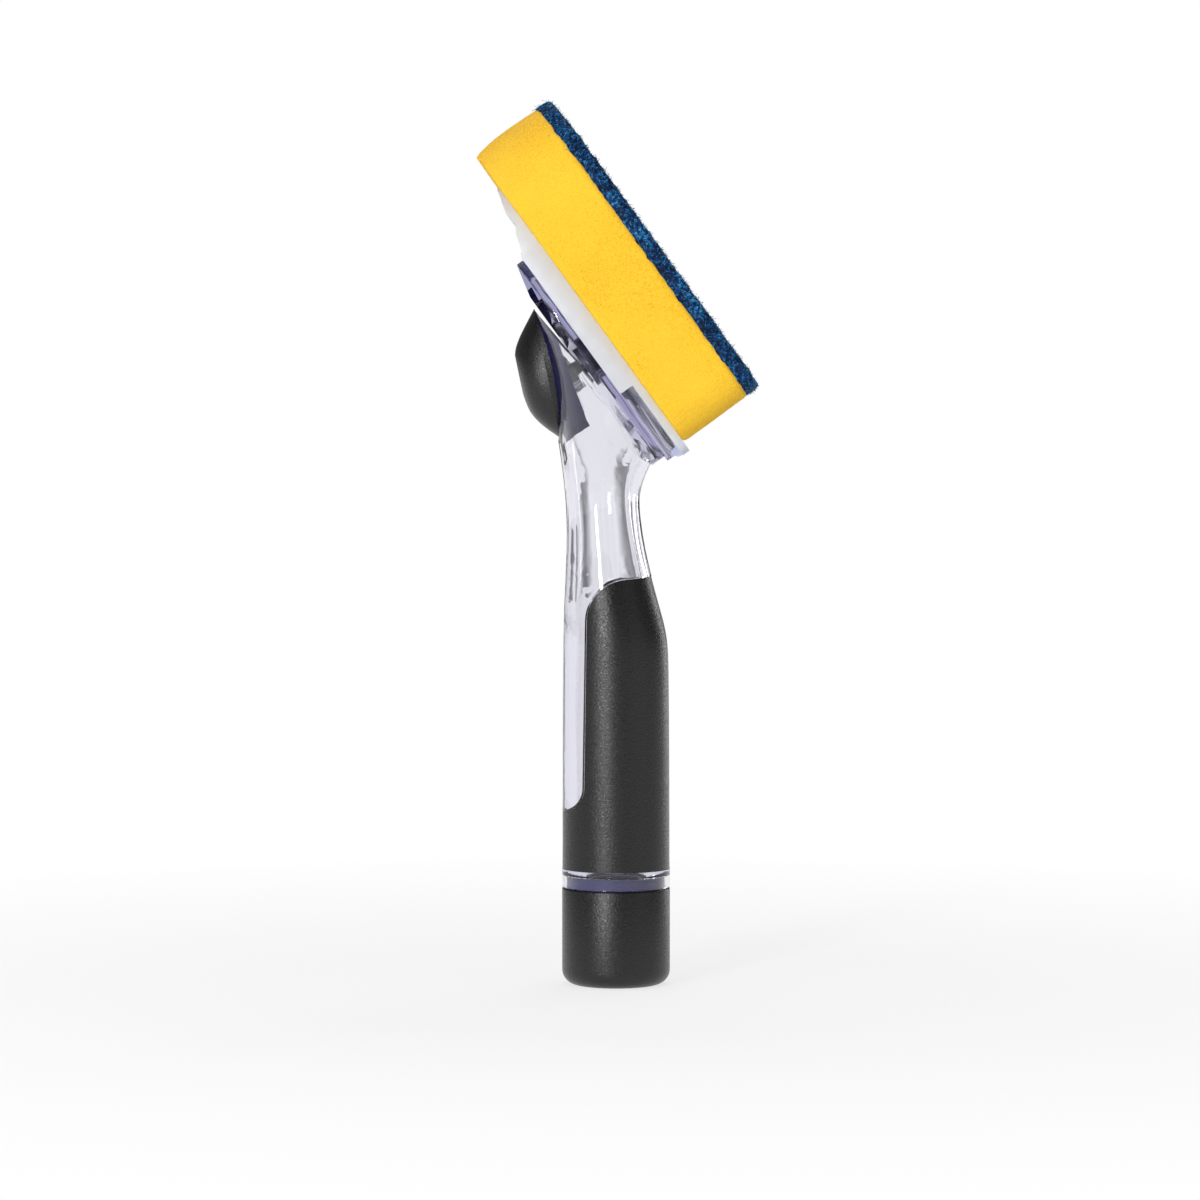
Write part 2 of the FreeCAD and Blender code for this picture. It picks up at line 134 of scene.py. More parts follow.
def addNoise(tree, spot, scale, detail=2.0, roughness=0.5):
    node = addNode(tree, "ShaderNodeTexNoise", {"Scale": scale, "Detail": detail, "Roughness": roughness})
    tree.links.new(spot, node.inputs["Vector"])
    return node.outputs["Fac"]


def addRamp(tree, value, places, colours):
    node = addNode(tree, "ShaderNodeValToRGB")
    ramp = node.color_ramp
    while len(ramp.elements) < len(places):
        ramp.elements.new(0.5)
    for element, place, colour in zip(ramp.elements, places, colours):
        element.position = place
        element.color = (*colour, 1.0)
    tree.links.new(value, node.inputs["Fac"])
    return node.outputs["Color"]


def addMap(tree, value, low, high, start=0.0, end=1.0):
    node = addNode(tree, "ShaderNodeMapRange",
                   {"From Min": start, "From Max": end, "To Min": low, "To Max": high})
    tree.links.new(value, node.inputs["Value"])
    return node.outputs["Result"]


# Each of the values is a number or another node's output
def addSum(tree, kind, *values):
    node = addNode(tree, "ShaderNodeMath", operation=kind)
    for index, value in enumerate(values):
        if isinstance(value, (int, float)):
            node.inputs[index].default_value = value
        else:
            tree.links.new(value, node.inputs[index])
    return node.outputs[0]


def addBump(tree, shader, height, strength, depth):
    node = addNode(tree, "ShaderNodeBump", {"Strength": strength, "Distance": depth})
    tree.links.new(height, node.inputs["Height"])
    tree.links.new(node.outputs["Normal"], shader.inputs["Normal"])


def addMix(tree, share, first, second):
    node = addNode(tree, "ShaderNodeMixShader")
    tree.links.new(share, node.inputs["Fac"])
    tree.links.new(first, node.inputs[1])
    tree.links.new(second, node.inputs[2])
    return node.outputs["Shader"]


clearLook = dict(tint=(0.95, 0.948, 0.965), ior=1.5, roughness=0.015, shadowTint=(0.86, 0.86, 0.9),
                 depthTint=(0.46, 0.45, 0.68), depthStrength=46.0, waveStretch=(120.0, 120.0, 18.0),
                 wave=dict(scale=1.0, detail=1.0), waveDepth=1.2 * mm, waveStrength=0.35)


def clearPlastic():
    finish, tree, shader = startFinish("clearPlastic", {
        "Base Color": (*clearLook["tint"], 1.0), "Roughness": clearLook["roughness"],
        "IOR": clearLook["ior"], "Transmission Weight": 1.0})
    # moulded walls are never quite flat: faint waves run up the handle
    stretch = addNode(tree, "ShaderNodeMapping", {"Scale": clearLook["waveStretch"]})
    tree.links.new(objectSpot(tree), stretch.inputs["Vector"])
    wave = addNoise(tree, stretch.outputs["Vector"], **clearLook["wave"])
    addBump(tree, shader, wave, clearLook["waveStrength"], clearLook["waveDepth"])
    # lamps shine through
    path = addNode(tree, "ShaderNodeLightPath")
    through = addNode(tree, "ShaderNodeBsdfTransparent", {"Color": (*clearLook["shadowTint"], 1.0)})
    output = tree.nodes["Material Output"]
    surface = addMix(tree, path.outputs["Is Shadow Ray"], shader.outputs["BSDF"], through.outputs["BSDF"])
    tree.links.new(surface, output.inputs["Surface"])
    depth = addNode(tree, "ShaderNodeVolumeAbsorption",
                    {"Color": (*clearLook["depthTint"], 1.0), "Density": clearLook["depthStrength"]})
    tree.links.new(depth.outputs["Volume"], output.inputs["Volume"])
    return finish


softLook = dict(dark=(0.004, 0.004, 0.0045), light=(0.01, 0.01, 0.0105), roughness=(0.2, 0.42), gloss=0.5,
                grain=dict(scale=1900.0, detail=3.0, roughness=0.6), grainRange=(0.3, 0.7),
                grainStrength=1.0, grainDepth=0.1 * mm)


def softBlack():
    finish, tree, shader = startFinish("softBlack", {"Specular IOR Level": softLook["gloss"]})
    grain = addNoise(tree, objectSpot(tree), **softLook["grain"])
    colour = addRamp(tree, grain, softLook["grainRange"], (softLook["dark"], softLook["light"]))
    tree.links.new(colour, shader.inputs["Base Color"])
    rough = addMap(tree, grain, *softLook["roughness"], *softLook["grainRange"])
    tree.links.new(rough, shader.inputs["Roughness"])
    addBump(tree, shader, grain, softLook["grainStrength"], softLook["grainDepth"])
    return finish


# Hard mouldings share one grain and differ in colour and gloss
mouldGrain = dict(patch=dict(scale=240.0, detail=3.0, roughness=0.6), colourRange=(0.25, 0.75),
                  roughRange=(0.3, 0.7), grain=dict(scale=1500.0), grainStrength=0.2)
mouldings = dict(
    hard_black=dict(name="hardBlack", dark=(0.005, 0.005, 0.06), light=(0.01, 0.01, 0.085),
                    roughness=(0.4, 0.5), grainDepth=0.02 * mm, sockets={"Specular IOR Level": 0.2}),
    # painted shade for the clear walls of the button's well
    well_painted_shade=dict(name="wellPaintedShade", dark=(0.006, 0.004, 0.045), light=(0.01, 0.008, 0.065),
                    roughness=(0.7, 0.8), grainDepth=0.02 * mm, sockets={"Specular IOR Level": 0.02}),
    white_plastic=dict(name="milkyWhite", dark=(0.57, 0.605, 0.675), light=(0.62, 0.655, 0.72),
                       roughness=(0.32, 0.42), grainDepth=0.02 * mm,
                       sockets={"Subsurface Weight": 0.08, "Subsurface Scale": 1.5 * mm,
                                "Subsurface Radius": (0.5, 0.5, 0.5)}),
    acetal=dict(name="acetal", dark=(0.02, 0.02, 0.045), light=(0.03, 0.03, 0.06),
                roughness=(0.3, 0.42), grainDepth=0.015 * mm, sockets={}),
    silicone=dict(name="silicone", dark=(0.42, 0.42, 0.44), light=(0.5, 0.5, 0.52),
                  roughness=(0.45, 0.6), grainDepth=0.02 * mm, sockets={}),
    steel=dict(name="springSteel", dark=(0.5, 0.5, 0.52), light=(0.62, 0.62, 0.64),
               roughness=(0.2, 0.32), grainDepth=0.01 * mm, sockets={"Metallic": 1.0}))


def mouldedPlastic(look):
    finish, tree, shader = startFinish(look["name"], look["sockets"])
    spot = objectSpot(tree)
    patch = addNoise(tree, spot, **mouldGrain["patch"])
    colour = addRamp(tree, patch, mouldGrain["colourRange"], (look["dark"], look["light"]))
    tree.links.new(colour, shader.inputs["Base Color"])
    rough = addMap(tree, patch, *look["roughness"], *mouldGrain["roughRange"])
    tree.links.new(rough, shader.inputs["Roughness"])
    grain = addNoise(tree, spot, **mouldGrain["grain"])
    addBump(tree, shader, grain, mouldGrain["grainStrength"], look["grainDepth"])
    return finish


foamLook = dict(dark=(0.5, 0.21, 0.004), middle=(0.9, 0.5, 0.024), light=(0.95, 0.585, 0.04),
                colourRange=(0.42, 0.58, 0.75), roughness=0.92, gloss=0.1, sheen=0.04, sheenRoughness=0.6,
                speck=dict(scale=2600.0, detail=4.0, roughness=0.65), patch=dict(scale=45.0), patchShare=0.35,
                poreScale=1500.0, poreRange=(0.1, 0.55), poreStrength=0.3, poreDepth=0.35 * mm)


def yellowFoam():
    finish, tree, shader = startFinish("yellowFoam", {
        "Roughness": foamLook["roughness"], "Specular IOR Level": foamLook["gloss"],
        "Sheen Weight": foamLook["sheen"], "Sheen Roughness": foamLook["sheenRoughness"]})
    spot = objectSpot(tree)
    speck = addNoise(tree, spot, **foamLook["speck"])
    patch = addNoise(tree, spot, **foamLook["patch"])
    blend = addSum(tree, "MULTIPLY_ADD", patch, foamLook["patchShare"], speck)
    colour = addRamp(tree, blend, foamLook["colourRange"],
                     (foamLook["dark"], foamLook["middle"], foamLook["light"]))
    tree.links.new(colour, shader.inputs["Base Color"])
    cell = addNode(tree, "ShaderNodeTexVoronoi", {"Scale": foamLook["poreScale"]}, feature="F1")
    tree.links.new(spot, cell.inputs["Vector"])
    pore = addMap(tree, cell.outputs["Distance"], 0.0, 1.0, *foamLook["poreRange"])
    height = addSum(tree, "ADD", pore, speck)
    addBump(tree, shader, height, foamLook["poreStrength"], foamLook["poreDepth"])
    return finish


fibreLook = dict(deep=(0.0004, 0.006, 0.028), navy=(0.002, 0.05, 0.17), pale=(0.06, 0.33, 0.62),
                 colourRange=(0.6, 0.8, 1.0), feltPaintedShade=-0.05, strandPaintedLight=0.2,
                 roughness=0.65, gloss=0.15, strand=dict(scale=1300.0, detail=2.0, roughness=0.6),
                 patch=dict(scale=160.0, detail=3.0, roughness=0.6), patchShare=0.5,
                 strandStrength=0.7, strandDepth=0.25 * mm)


# The felt and the strands share one fibre colour, shifted: the felt body darker as painted shade, the strands that
# stand out lighter as painted light
def scourFibre(name, paintedLightShift):
    finish, tree, shader = startFinish(name, {"Roughness": fibreLook["roughness"],
                                              "Specular IOR Level": fibreLook["gloss"]})
    spot = objectSpot(tree)
    strand = addNoise(tree, spot, **fibreLook["strand"])
    patch = addNoise(tree, spot, **fibreLook["patch"])
    blend = addSum(tree, "MULTIPLY_ADD", patch, fibreLook["patchShare"], strand)
    places = [place - paintedLightShift for place in fibreLook["colourRange"]]
    colour = addRamp(tree, blend, places, (fibreLook["deep"], fibreLook["navy"], fibreLook["pale"]))
    tree.links.new(colour, shader.inputs["Base Color"])
    addBump(tree, shader, strand, fibreLook["strandStrength"], fibreLook["strandDepth"])
    return finish


finishes = {slot: mouldedPlastic(look) for slot, look in mouldings.items()}
finishes["clear_plastic"] = clearPlastic()
finishes["soft_black"] = softBlack()
finishes["foam"] = yellowFoam()
# the felt gets painted shade and the strands painted light
finishes["scour_fibre"] = scourFibre("scourFelt", fibreLook["feltPaintedShade"])
strandFinish = scourFibre("scourStrand", fibreLook["strandPaintedLight"])
print("finishes mixed:", len(finishes) + 1)


# Making pieces
def newPiece(bm, name):
    mesh = bpy.data.meshes.new(name)
    bm.to_mesh(mesh)
    bm.free()
    piece = bpy.data.objects.new(name, mesh)
    bpy.context.scene.collection.objects.link(piece)
    return piece


def applyModifiers(piece):
    graph = bpy.context.evaluated_depsgraph_get()
    mesh = bpy.data.meshes.new_from_object(piece.evaluated_get(graph))
    piece.modifiers.clear()
    piece.data = mesh


# Without a crease angle, the piece takes the normals of its CAD surfaces
def settle(piece, node, slot, creaseDegrees=None):
    for face in piece.data.polygons:
        face.use_smooth = True
    takeNormals(piece.data, creaseDegrees is None)
    if creaseDegrees is not None:
        piece.data.set_sharp_from_angle(angle=math.radians(creaseDegrees))
    piece.data.materials.append(finishes[slot])
    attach(piece, bodyOf[node])
    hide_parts(node)
    return piece


joining = dict(reach=0.001 * mm, sliver=0.0005 * mm)


# A copy of a CAD piece, its triangles joined, that remembers the CAD surfaces' own normals
def mergedCopy(node):
    source = frame["nodes"][node].data
    bm = bmesh.new()
    bm.from_mesh(source)
    for layers in (bm.loops.layers.float_vector, bm.loops.layers.uv, bm.loops.layers.color):
        for layer in list(layers.values()):
            layers.remove(layer)
    cadNormal = bm.loops.layers.float_vector.new("cadNormal")
    normals = iter(source.corner_normals)
    for face in bm.faces:
        for corner in face.loops:
            corner[cadNormal] = next(normals).vector
    bmesh.ops.remove_doubles(bm, verts=bm.verts, dist=joining["reach"])
    bmesh.ops.dissolve_degenerate(bm, dist=joining["sliver"], edges=bm.edges)
    return bm


def takeNormals(mesh, exact):
    if "cadNormal" not in mesh.attributes:
        return
    normals = [corner.vector.copy() for corner in mesh.attributes["cadNormal"].data]
    mesh.attributes.remove(mesh.attributes["cadNormal"])
    if exact:
        mesh.normals_split_custom_set(normals)


def sharpEdges(bm, degrees):
    limit = math.radians(degrees)
    return [edge for edge in bm.edges if len(edge.link_faces) == 2 and edge.calc_face_angle() > limit]


def roundOff(bm, parts, kind, radius, steps):
    bmesh.ops.bevel(bm, geom=parts, offset=radius, offset_type="OFFSET", segments=steps, profile=0.5,
                    affect=kind, material=-1)


# Sponge and scouring pad, cut from the same outline: a half round at the top and two rounded corners below
slabCut = dict(cornerRadius=9 * mm, cornerSteps=10, endShare=0.9995, endSteps=28, edgeDegrees=60, edgeSteps=3)


def outlineSlab(low, high, edgeRadius):
    bm = bmesh.new()
    places = ((low.x, low.y), (high.x, low.y), (high.x, high.y), (low.x, high.y))
    corners = [bm.verts.new((x, y, low.z)) for x, y in places]
    bm.faces.new(corners)
    endRadius = (high.y - low.y) / 2 * slabCut["endShare"]
    roundOff(bm, [corners[0], corners[3]], "VERTICES", endRadius, slabCut["endSteps"])
    roundOff(bm, [corners[1], corners[2]], "VERTICES", slabCut["cornerRadius"], slabCut["cornerSteps"])
    raised = bmesh.ops.extrude_face_region(bm, geom=bm.faces[:])
    top = [part for part in raised["geom"] if isinstance(part, bmesh.types.BMVert)]
    bmesh.ops.translate(bm, verts=top, vec=(0, 0, high.z - low.z))
    bmesh.ops.recalc_face_normals(bm, faces=bm.faces)
    roundOff(bm, sharpEdges(bm, slabCut["edgeDegrees"]), "EDGES", edgeRadius, slabCut["edgeSteps"])
    return bm


def remesh(piece, voxel):
    modifier = piece.modifiers.new("voxels", "REMESH")
    modifier.mode = "VOXEL"
    modifier.voxel_size = voxel
    applyModifiers(piece)


def reshape(piece, move):
    bm = bmesh.new()
    bm.from_mesh(piece.data)
    bm.normal_update()
    shifts = [move(vertex.co.copy(), vertex.normal.copy()) for vertex in bm.verts]
    for vertex, shift in zip(bm.verts, shifts):
        vertex.co += shift
    bmesh.ops.transform(bm, matrix=headTurn, verts=bm.verts)
    bm.to_mesh(piece.data)
    bm.free()


def waves(spot, scale, height):
    return noise.noise(spot * scale) * height


foamBlock = dict(edgeRadius=0.8 * mm, voxel=0.8 * mm, intoPad=1.3 * mm, waveHeight=0.3 * mm, waveScale=70.0,
                 grainHeight=0.05 * mm, grainScale=700.0, flatFacing=-0.5, endFacing=-0.3, endPart=3,
                 plateBulge=1.2 * mm, padBulge=0.3 * mm, crease=70)


def makeSponge():
    low, high = headBox("sponge")
    endLength = (high.x - low.x) / foamBlock["endPart"]
    top = high.z
    high.z += foamBlock["intoPad"]
    piece = newPiece(outlineSlab(low, high, foamBlock["edgeRadius"]), "sponge_foam")
    remesh(piece, foamBlock["voxel"])

    def move(spot, normal):
        shift = normal * (waves(spot, foamBlock["waveScale"], foamBlock["waveHeight"])
                          + waves(spot, foamBlock["grainScale"], foamBlock["grainHeight"]))
        # the face on the plate stays flat, and nothing grows through the pad
        onPlate = spot.z < low.z + foamBlock["edgeRadius"] and normal.z < foamBlock["flatFacing"]
        if onPlate or spot.z > top:
            shift.z = 0.0
        # the round end is pulled in a little along its two faces, so that it swells between them
        if normal.x < foamBlock["endFacing"]:
            endShare = max(0.0, 1.0 - (spot.x - low.x) / endLength)
            level = (spot.z - low.z) / (top - low.z) * 2 - 1
            swell = foamBlock["plateBulge"] if level < 0 else foamBlock["padBulge"]
            shift.x += endShare * min(abs(level), 1.0) ** 2 * swell
        return shift

    reshape(piece, move)
    return settle(piece, "sponge", "foam", foamBlock["crease"])


fibrePad = dict(edgeRadius=1.3 * mm, voxel=0.6 * mm, setBack=0.3 * mm, edgeWave=1.1 * mm, edgeScale=130.0,
                edgeNotch=1.1 * mm, tuftHeight=0.45 * mm, tuftScale=420.0, fuzzHeight=0.25 * mm,
                fuzzScale=1300.0, crease=80)


def makePad():
    low, high = headBox("scour_pad")
    middle = (low.z + high.z) / 2
    for side in (0, 1):
        low[side] += fibrePad["setBack"]
        high[side] -= fibrePad["setBack"]
    high.z -= fibrePad["tuftHeight"]
    piece = newPiece(outlineSlab(low, high, fibrePad["edgeRadius"]), "scour_pad_felt")
    remesh(piece, fibrePad["voxel"])

    def move(spot, normal):
        tuft = waves(spot, fibrePad["tuftScale"], fibrePad["tuftHeight"])
        fuzz = waves(spot, fibrePad["fuzzScale"], fibrePad["fuzzHeight"])
        shift = normal * (tuft + fuzz)
        # the line where it meets the sponge wanders
        if spot.z < middle:
            share = (middle - spot.z) / (middle - low.z)
            place = Vector((spot.x, spot.y, 0))
            wander = waves(place, fibrePad["edgeScale"], fibrePad["edgeWave"])
            wander += waves(place, fibrePad["tuftScale"], fibrePad["edgeNotch"])
            shift.z += share * wander
        return shift

    reshape(piece, move)
    return settle(piece, "scour_pad", "scour_fibre", fibrePad["crease"])


strands = dict(count=9000, length=(0.5 * mm, 1.4 * mm), radius=(0.05 * mm, 0.1 * mm), lift=(0.0, 0.3),
               curl=0.3, bends=2, tipThinner=0.5, rootDepth=0.1 * mm, leastFacing=-0.3, below=0.6 * mm,
               crease=180)


def makeStrands(felt):
    lowest = headBox("scour_pad")[0].z - strands["below"]
    outward = [face for face in felt.data.polygons
               if face.normal @ padOut > strands["leastFacing"] and face.center @ padOut > lowest]
    chosen = random.choices(outward, weights=[face.area for face in outward], k=strands["count"])
    data = bpy.data.curves.new("scour_pad_strands", "CURVE")
    data.dimensions = "3D"
    data.bevel_depth = 1.0
    data.bevel_resolution = 0
    data.resolution_u = 1
    data.use_fill_caps = True
    for face in chosen:
        lift = random.uniform(*strands["lift"])
        aim = Vector([random.gauss(0, 1) for side in range(3)])
        aim = (aim - face.normal * (aim @ face.normal)).normalized() + face.normal * lift
        bow = Vector([random.gauss(0, strands["curl"]) for side in range(3)])
        length = random.uniform(*strands["length"])
        start = face.center - face.normal * strands["rootDepth"]
        spline = data.splines.new("POLY")
        spline.points.add(strands["bends"])
        for index, point in enumerate(spline.points):
            step = index / strands["bends"]
            spot = start + aim * (length * step) + bow * (length * step * step)
            point.co = (*spot, 1.0)
            point.radius = random.uniform(*strands["radius"]) * (1 - strands["tipThinner"] * step)
    curve = bpy.data.objects.new("scour_pad_strands", data)
    bpy.context.scene.collection.objects.link(curve)
    graph = bpy.context.evaluated_depsgraph_get()
    mesh = bpy.data.meshes.new_from_object(curve.evaluated_get(graph))
    bpy.data.objects.remove(curve)
    piece = bpy.data.objects.new("scour_pad_strands", mesh)
    bpy.context.scene.collection.objects.link(piece)
    settle(piece, "scour_pad", "scour_fibre", strands["crease"])
    piece.data.materials[0] = strandFinish
    return piece


makeSponge()
padFelt = makePad()
padStrands = makeStrands(padFelt)
print("sponge and pad made,", len(padStrands.data.polygons), "strand faces")


# Refill plate, tongue and deck: moulded plates with slightly rounded edges
plates = dict(
    refill_plate=dict(name="refill_carrier", slot="white_plastic", edgeRadius=0.25 * mm, weldGap=0.0),
    tongue_plate=dict(name="tongue_deck", slot="clear_plastic", edgeRadius=0.18 * mm, weldGap=0.05 * mm))
plateCut = dict(flatDegrees=1.0, edgeDegrees=40, edgeSteps=2, crease=30)
hood = dict(thinFrom=21.0 * mm, tip=0.4 * mm, cuts=9)


# The hood thins towards its tip, on the face away from the sponge
def thinHood(bm):
    low, high = headBox("refill_plate")
    flat = headTurn.transposed()
    for cut in range(1, hood["cuts"]):
        place = Vector((low.x + hood["thinFrom"] * (cut / hood["cuts"]) ** 2, 0, low.z))
        bmesh.ops.bisect_plane(bm, geom=bm.verts[:] + bm.edges[:] + bm.faces[:], plane_co=headTurn @ place,
                               plane_no=padUp, dist=joining["reach"])
    for vertex in bm.verts:
        spot = flat @ vertex.co
        along = min(max((spot.x - low.x) / hood["thinFrom"], 0.0), 1.0)
        depth = high.z - spot.z
        room = hood["tip"] + along * (high.z - low.z)
        if along < 1.0 and depth > room:
            spot.z = high.z - room
            vertex.co = headTurn @ spot


def makePlate(node):
    plate = plates[node]
    bm = mergedCopy(node)
    bmesh.ops.dissolve_limit(bm, angle_limit=math.radians(plateCut["flatDegrees"]), verts=bm.verts,
                             edges=bm.edges)
    # a hair's breadth of air at the weld, so that its two faces don't lie in one plane
    bmesh.ops.translate(bm, verts=bm.verts, vec=padOut * plate["weldGap"])
    if node == "refill_plate":
        thinHood(bm)
    bmesh.ops.bevel(bm, geom=sharpEdges(bm, plateCut["edgeDegrees"]), offset=plate["edgeRadius"],
                    offset_type="OFFSET", segments=plateCut["edgeSteps"], profile=0.5, affect="EDGES",
                    material=-1, clamp_overlap=True)
    bmesh.ops.remove_doubles(bm, verts=bm.verts, dist=joining["reach"])
    return settle(newPiece(bm, plate["name"]), node, plate["slot"], plateCut["crease"])


for node in plates:
    makePlate(node)
print("plates made")


# Clear body, grip and button keep their moulded forms. The grip's faces draw in a little, off the body's own
shells = dict(reservoir_body=dict(name="clear_handle", slot="clear_plastic", shrink=0.0),
              grip_sleeve=dict(name="soft_grip", slot="soft_black", shrink=0.12 * mm),
              button_cap=dict(name="thumb_button", slot="soft_black", shrink=0.0))

# The clear walls of the well that the button works in are painted near black, inside and out: painted shade, which
# looks dark through the clear head
wellShade = dict(wallReach=0.5 * mm, backReach=4.2 * mm, floorReach=4.5 * mm, leastFacing=0.3, leastFlat=0.5,
              lift=0.02 * mm, cuts=5, finest=0.2 * mm)


# Finer triangles along the border of the painted well shade give it a clean edge
def cutRim(bm, button):
    for cut in range(wellShade["cuts"]):
        rim = []
        for edge in bm.edges:
            length = edge.calc_length()
            middle = (edge.verts[0].co + edge.verts[1].co) / 2
            reach = button.find_nearest(middle, wellShade["backReach"] + length)[3]
            if reach is None or length <= wellShade["finest"]:
                continue
            if abs(reach - wellShade["backReach"]) < length:
                rim.append(edge)
        bmesh.ops.subdivide_edges(bm, edges=rim, cuts=1)
        bmesh.ops.triangulate(bm, faces=[face for face in bm.faces if len(face.verts) > 3])


# Clear body faces on the well's walls, behind the button and under it take the second finish: painted shade
def shadeWell(bm):
    skin = mergedCopy("button_cap")
    button = BVHTree.FromBMesh(skin)
    skin.free()
    clear = BVHTree.FromBMesh(bm)
    cutRim(bm, button)
    bm.normal_update()
    for face in bm.faces:
        middle = face.calc_center_median()
        nearest = button.find_nearest(middle, wellShade["floorReach"])
        spot, reach = nearest[0], nearest[3]
        if spot is None:
            continue
        towards = (spot - middle) @ face.normal / reach
        outward = face.normal @ padOut
        inside = clear.ray_cast(middle + face.normal * wellShade["lift"], face.normal)[0] is not None
        wall = reach < wellShade["wallReach"] and towards > wellShade["leastFacing"]
        back = reach < wellShade["backReach"] and inside
        shaded = button.ray_cast(middle, -padOut, wellShade["floorReach"])[0] is not None
        floor = shaded and abs(outward) > wellShade["leastFlat"] and (inside or outward < 0)
        if wall or back or floor:
            face.material_index = 1


def makeShell(node):
    shell = shells[node]
    bm = mergedCopy(node)
    if node == "reservoir_body":
        shadeWell(bm)
    bm.normal_update()
    shifts = [vertex.normal * -shell["shrink"] for vertex in bm.verts]
    for vertex, shift in zip(bm.verts, shifts):
        vertex.co += shift
    piece = settle(newPiece(bm, shell["name"]), node, shell["slot"])
    if node == "reservoir_body":
        piece.data.materials.append(finishes["well_painted_shade"])
    return piece


for node in shells:
    makeShell(node)
print("shells made")


# Screw cap, spun from its profile
capSkin = dict(edgeRadius=4 * mm, edgeSteps=8, rimRadius=0.35 * mm, rimSteps=3, wall=1.4 * mm, floor=1.6 * mm,
               turnSteps=96, crease=40)


def makeCap():
    low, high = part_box("cap_cover")
    radius = (high.x - low.x) / 2
    inner = radius - capSkin["wall"]
    floor = low.z + capSkin["floor"]
    bm = bmesh.new()
    line = [(0, low.z), (radius, low.z), (radius, high.z), (inner, high.z), (inner, floor), (0, floor)]
    spots = [bm.verts.new((x, 0, z)) for x, z in line]
    for first, second in zip(spots, spots[1:]):
        bm.edges.new((first, second))
    roundOff(bm, [spots[1]], "VERTICES", capSkin["edgeRadius"], capSkin["edgeSteps"])
    for rim in spots[2:4]:
        roundOff(bm, [rim], "VERTICES", capSkin["rimRadius"], capSkin["rimSteps"])
    bmesh.ops.spin(bm, geom=bm.verts[:] + bm.edges[:], axis=(0, 0, 1), cent=(0, 0, 0), angle=2 * math.pi,
                   steps=capSkin["turnSteps"], use_merge=True)
    bmesh.ops.remove_doubles(bm, verts=bm.verts, dist=joining["reach"])
    bmesh.ops.recalc_face_normals(bm, faces=bm.faces)
    return settle(newPiece(bm, "cap_skin"), "cap_cover", "soft_black", capSkin["crease"])


makeCap()
print("cap made")


# Return spring, spun along its axis
coil = dict(wireRadius=0.25 * mm, turns=3.5, stepsPerTurn=32, wireSides=8, crease=60)


def makeSpring():
    low, high = headBox("return_spring")
    middle = (low + high) / 2
    radius = (high.x - low.x) / 2 - coil["wireRadius"]
    steps = round(coil["turns"] * coil["stepsPerTurn"])
    rise = high.z - low.z - 2 * coil["wireRadius"]
    bm = bmesh.new()
    bmesh.ops.create_circle(bm, segments=coil["wireSides"], radius=coil["wireRadius"],
                            matrix=Matrix.Rotation(math.pi / 2, 4, "X"))
    start = Vector((middle.x + radius, 0, low.z + coil["wireRadius"]))
    bmesh.ops.translate(bm, verts=bm.verts, vec=start)
    bmesh.ops.spin(bm, geom=bm.verts[:] + bm.edges[:], axis=(0, 0, 1), cent=(middle.x, 0, 0),
                   dvec=(0, 0, rise / steps), angle=2 * math.pi * coil["turns"], steps=steps)
    bmesh.ops.holes_fill(bm, edges=[edge for edge in bm.edges if edge.is_boundary])
    bmesh.ops.recalc_face_normals(bm, faces=bm.faces)
    bmesh.ops.transform(bm, matrix=headTurn, verts=bm.verts)
    piece = settle(newPiece(bm, "spring_coil"), "return_spring", "steel", coil["crease"])
    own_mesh(piece)
    return piece


makeSpring()
print("spring made")


# Pieces inside keep their CAD form, with smooth round faces
innerPieces = dict(button_core="hard_black", plunger_stem="acetal", stem_guide="acetal",
                   stem_seal="silicone", seal_retainer="acetal", outlet_seat="acetal",
                   valve_poppet="silicone", poppet_clip="steel", cap_core="hard_black",
                   cap_gasket="silicone")

for node, slot in innerPieces.items():
    settle(newPiece(mergedCopy(node), node + "_inside"), node, slot)
print("inner pieces made:", len(innerPieces))


# Floor, light and background
studio = dict(floorHalf=2.5, floorColour=(0.86, 0.86, 0.87), floorClear=0.72, fadeRange=(0.1, 0.35),
              skyForLight=0.5, bandCount=16, bandDark=0.22, bandRange=(-1.0, 0.2), highDark=0.4,
              highRange=(0.25, 0.75), mirrorDim=0.25)
lamps = dict(key=dict(place=(-0.75, -0.65, 0.75), size=(0.5, 0.5), power=0.9),
             strip=dict(place=(-0.42, -0.85, 0.22), size=(0.12, 0.6), power=5.6),
             fill=dict(place=(0.8, -0.6, 0.35), size=(0.7, 0.7), power=0.4),
             rim=dict(place=(0.62, 0.75, 0.3), size=(0.15, 0.6), power=1.2),
             top=dict(place=(0.1, 0.5, 0.95), size=(0.6, 0.6), power=2.0))


def seenRays(tree):
    path = addNode(tree, "ShaderNodeLightPath")
    total = path.outputs["Is Camera Ray"]
    for kind in ("Is Glossy Ray", "Is Transmission Ray"):
        step = addNode(tree, "ShaderNodeMath", operation="ADD", use_clamp=True)
        tree.links.new(total, step.inputs[0])
        tree.links.new(path.outputs[kind], step.inputs[1])
        total = step.outputs[0]
    return total


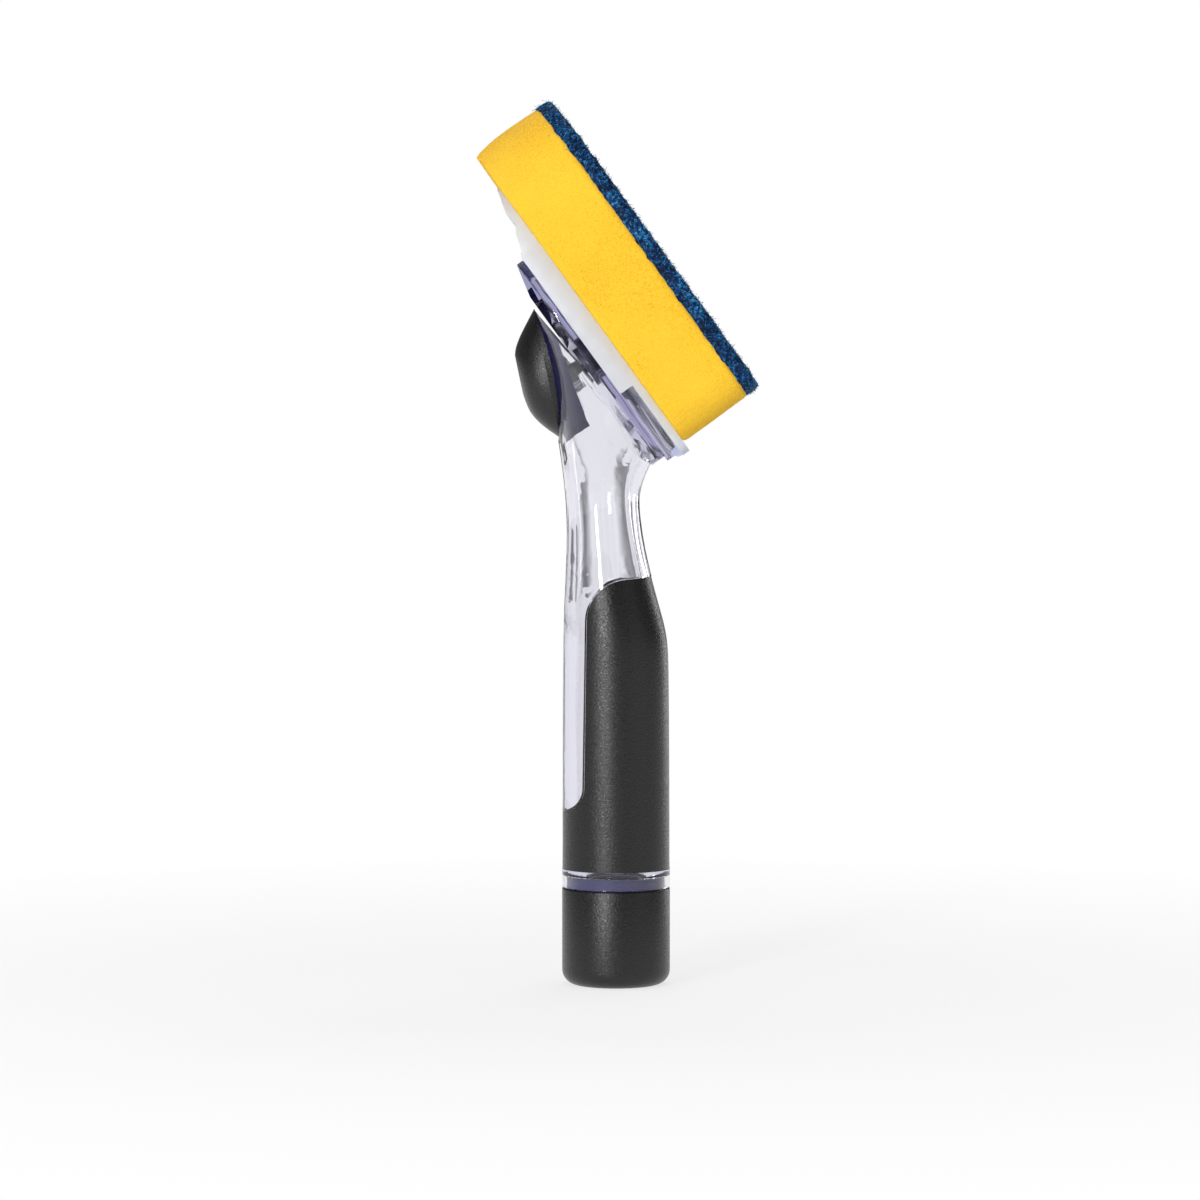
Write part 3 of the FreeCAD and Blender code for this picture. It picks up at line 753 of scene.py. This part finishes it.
# The floor keeps its shadow near the object and fades to white away from it
def makeFloor():
    bm = bmesh.new()
    bmesh.ops.create_grid(bm, x_segments=1, y_segments=1, size=studio["floorHalf"])
    floor = newPiece(bm, "floor")
    finish = bpy.data.materials.new("paleFloor")
    finish.use_nodes = True
    tree = finish.node_tree
    tree.nodes.clear()
    matte = addNode(tree, "ShaderNodeBsdfDiffuse", {"Color": (*studio["floorColour"], 1.0)})
    white = addNode(tree, "ShaderNodeEmission", {"Color": (1, 1, 1, 1), "Strength": 1.0})
    reach = addNode(tree, "ShaderNodeVectorMath", operation="LENGTH")
    tree.links.new(objectSpot(tree), reach.inputs[0])
    fade = addMap(tree, reach.outputs["Value"], studio["floorClear"], 1.0, *studio["fadeRange"])
    share = addSum(tree, "MULTIPLY", fade, seenRays(tree))
    output = addNode(tree, "ShaderNodeOutputMaterial")
    surface = addMix(tree, share, matte.outputs["BSDF"], white.outputs["Emission"])
    tree.links.new(surface, output.inputs["Surface"])
    floor.data.materials.append(finish)


def makeSky():
    world = bpy.data.worlds.new("studioSky")
    bpy.context.scene.world = world
    world.use_nodes = True
    tree = world.node_tree
    aim = addNode(tree, "ShaderNodeSeparateXYZ")
    tree.links.new(addNode(tree, "ShaderNodeTexCoord").outputs["Generated"], aim.inputs[0])
    # dark cards stand between white ones all round, and the ceiling is dim: clear plastic draws its
    # edges from them
    turn = addSum(tree, "ARCTAN2", aim.outputs["Y"], aim.outputs["X"])
    wave = addSum(tree, "COSINE", addSum(tree, "MULTIPLY", turn, studio["bandCount"]))
    cards = addMap(tree, wave, studio["bandDark"], 1.0, *studio["bandRange"])
    steep = addSum(tree, "ABSOLUTE", aim.outputs["Z"])
    height = addMap(tree, steep, 1.0, studio["highDark"], *studio["highRange"])
    # what surfaces mirror is dimmer than what shows through them, as in a room with one white wall
    path = addNode(tree, "ShaderNodeLightPath")
    mirrored = addSum(tree, "SUBTRACT", path.outputs["Is Glossy Ray"], path.outputs["Is Transmission Ray"])
    mirrorLevel = addMap(tree, mirrored, 1.0, studio["mirrorDim"])
    around = addSum(tree, "MULTIPLY", addSum(tree, "MULTIPLY", cards, height), mirrorLevel)
    around = addSum(tree, "MAXIMUM", around, path.outputs["Is Camera Ray"])
    seen = addSum(tree, "MULTIPLY", around, seenRays(tree))
    unseen = addSum(tree, "SUBTRACT", 1.0, seenRays(tree))
    rest = addSum(tree, "MULTIPLY", unseen, studio["skyForLight"])
    background = tree.nodes["Background"]
    tree.links.new(addSum(tree, "ADD", seen, rest), background.inputs["Strength"])
    background.inputs["Color"].default_value = (1, 1, 1, 1)


def hangLamp(name, look):
    data = bpy.data.lights.new(name, "AREA")
    data.shape = "RECTANGLE"
    data.size, data.size_y = look["size"]
    data.energy = look["power"]
    lamp = bpy.data.objects.new(name, data)
    lamp.location = look["place"]
    aim = (cadBox[0] + cadBox[1]) / 2 - lamp.location
    lamp.rotation_euler = aim.to_track_quat("-Z", "Y").to_euler()
    bpy.context.scene.collection.objects.link(lamp)


makeFloor()
makeSky()
for name, look in lamps.items():
    hangLamp(name, look)
bpy.context.scene.view_settings.view_transform = "Standard"
print("studio lit")
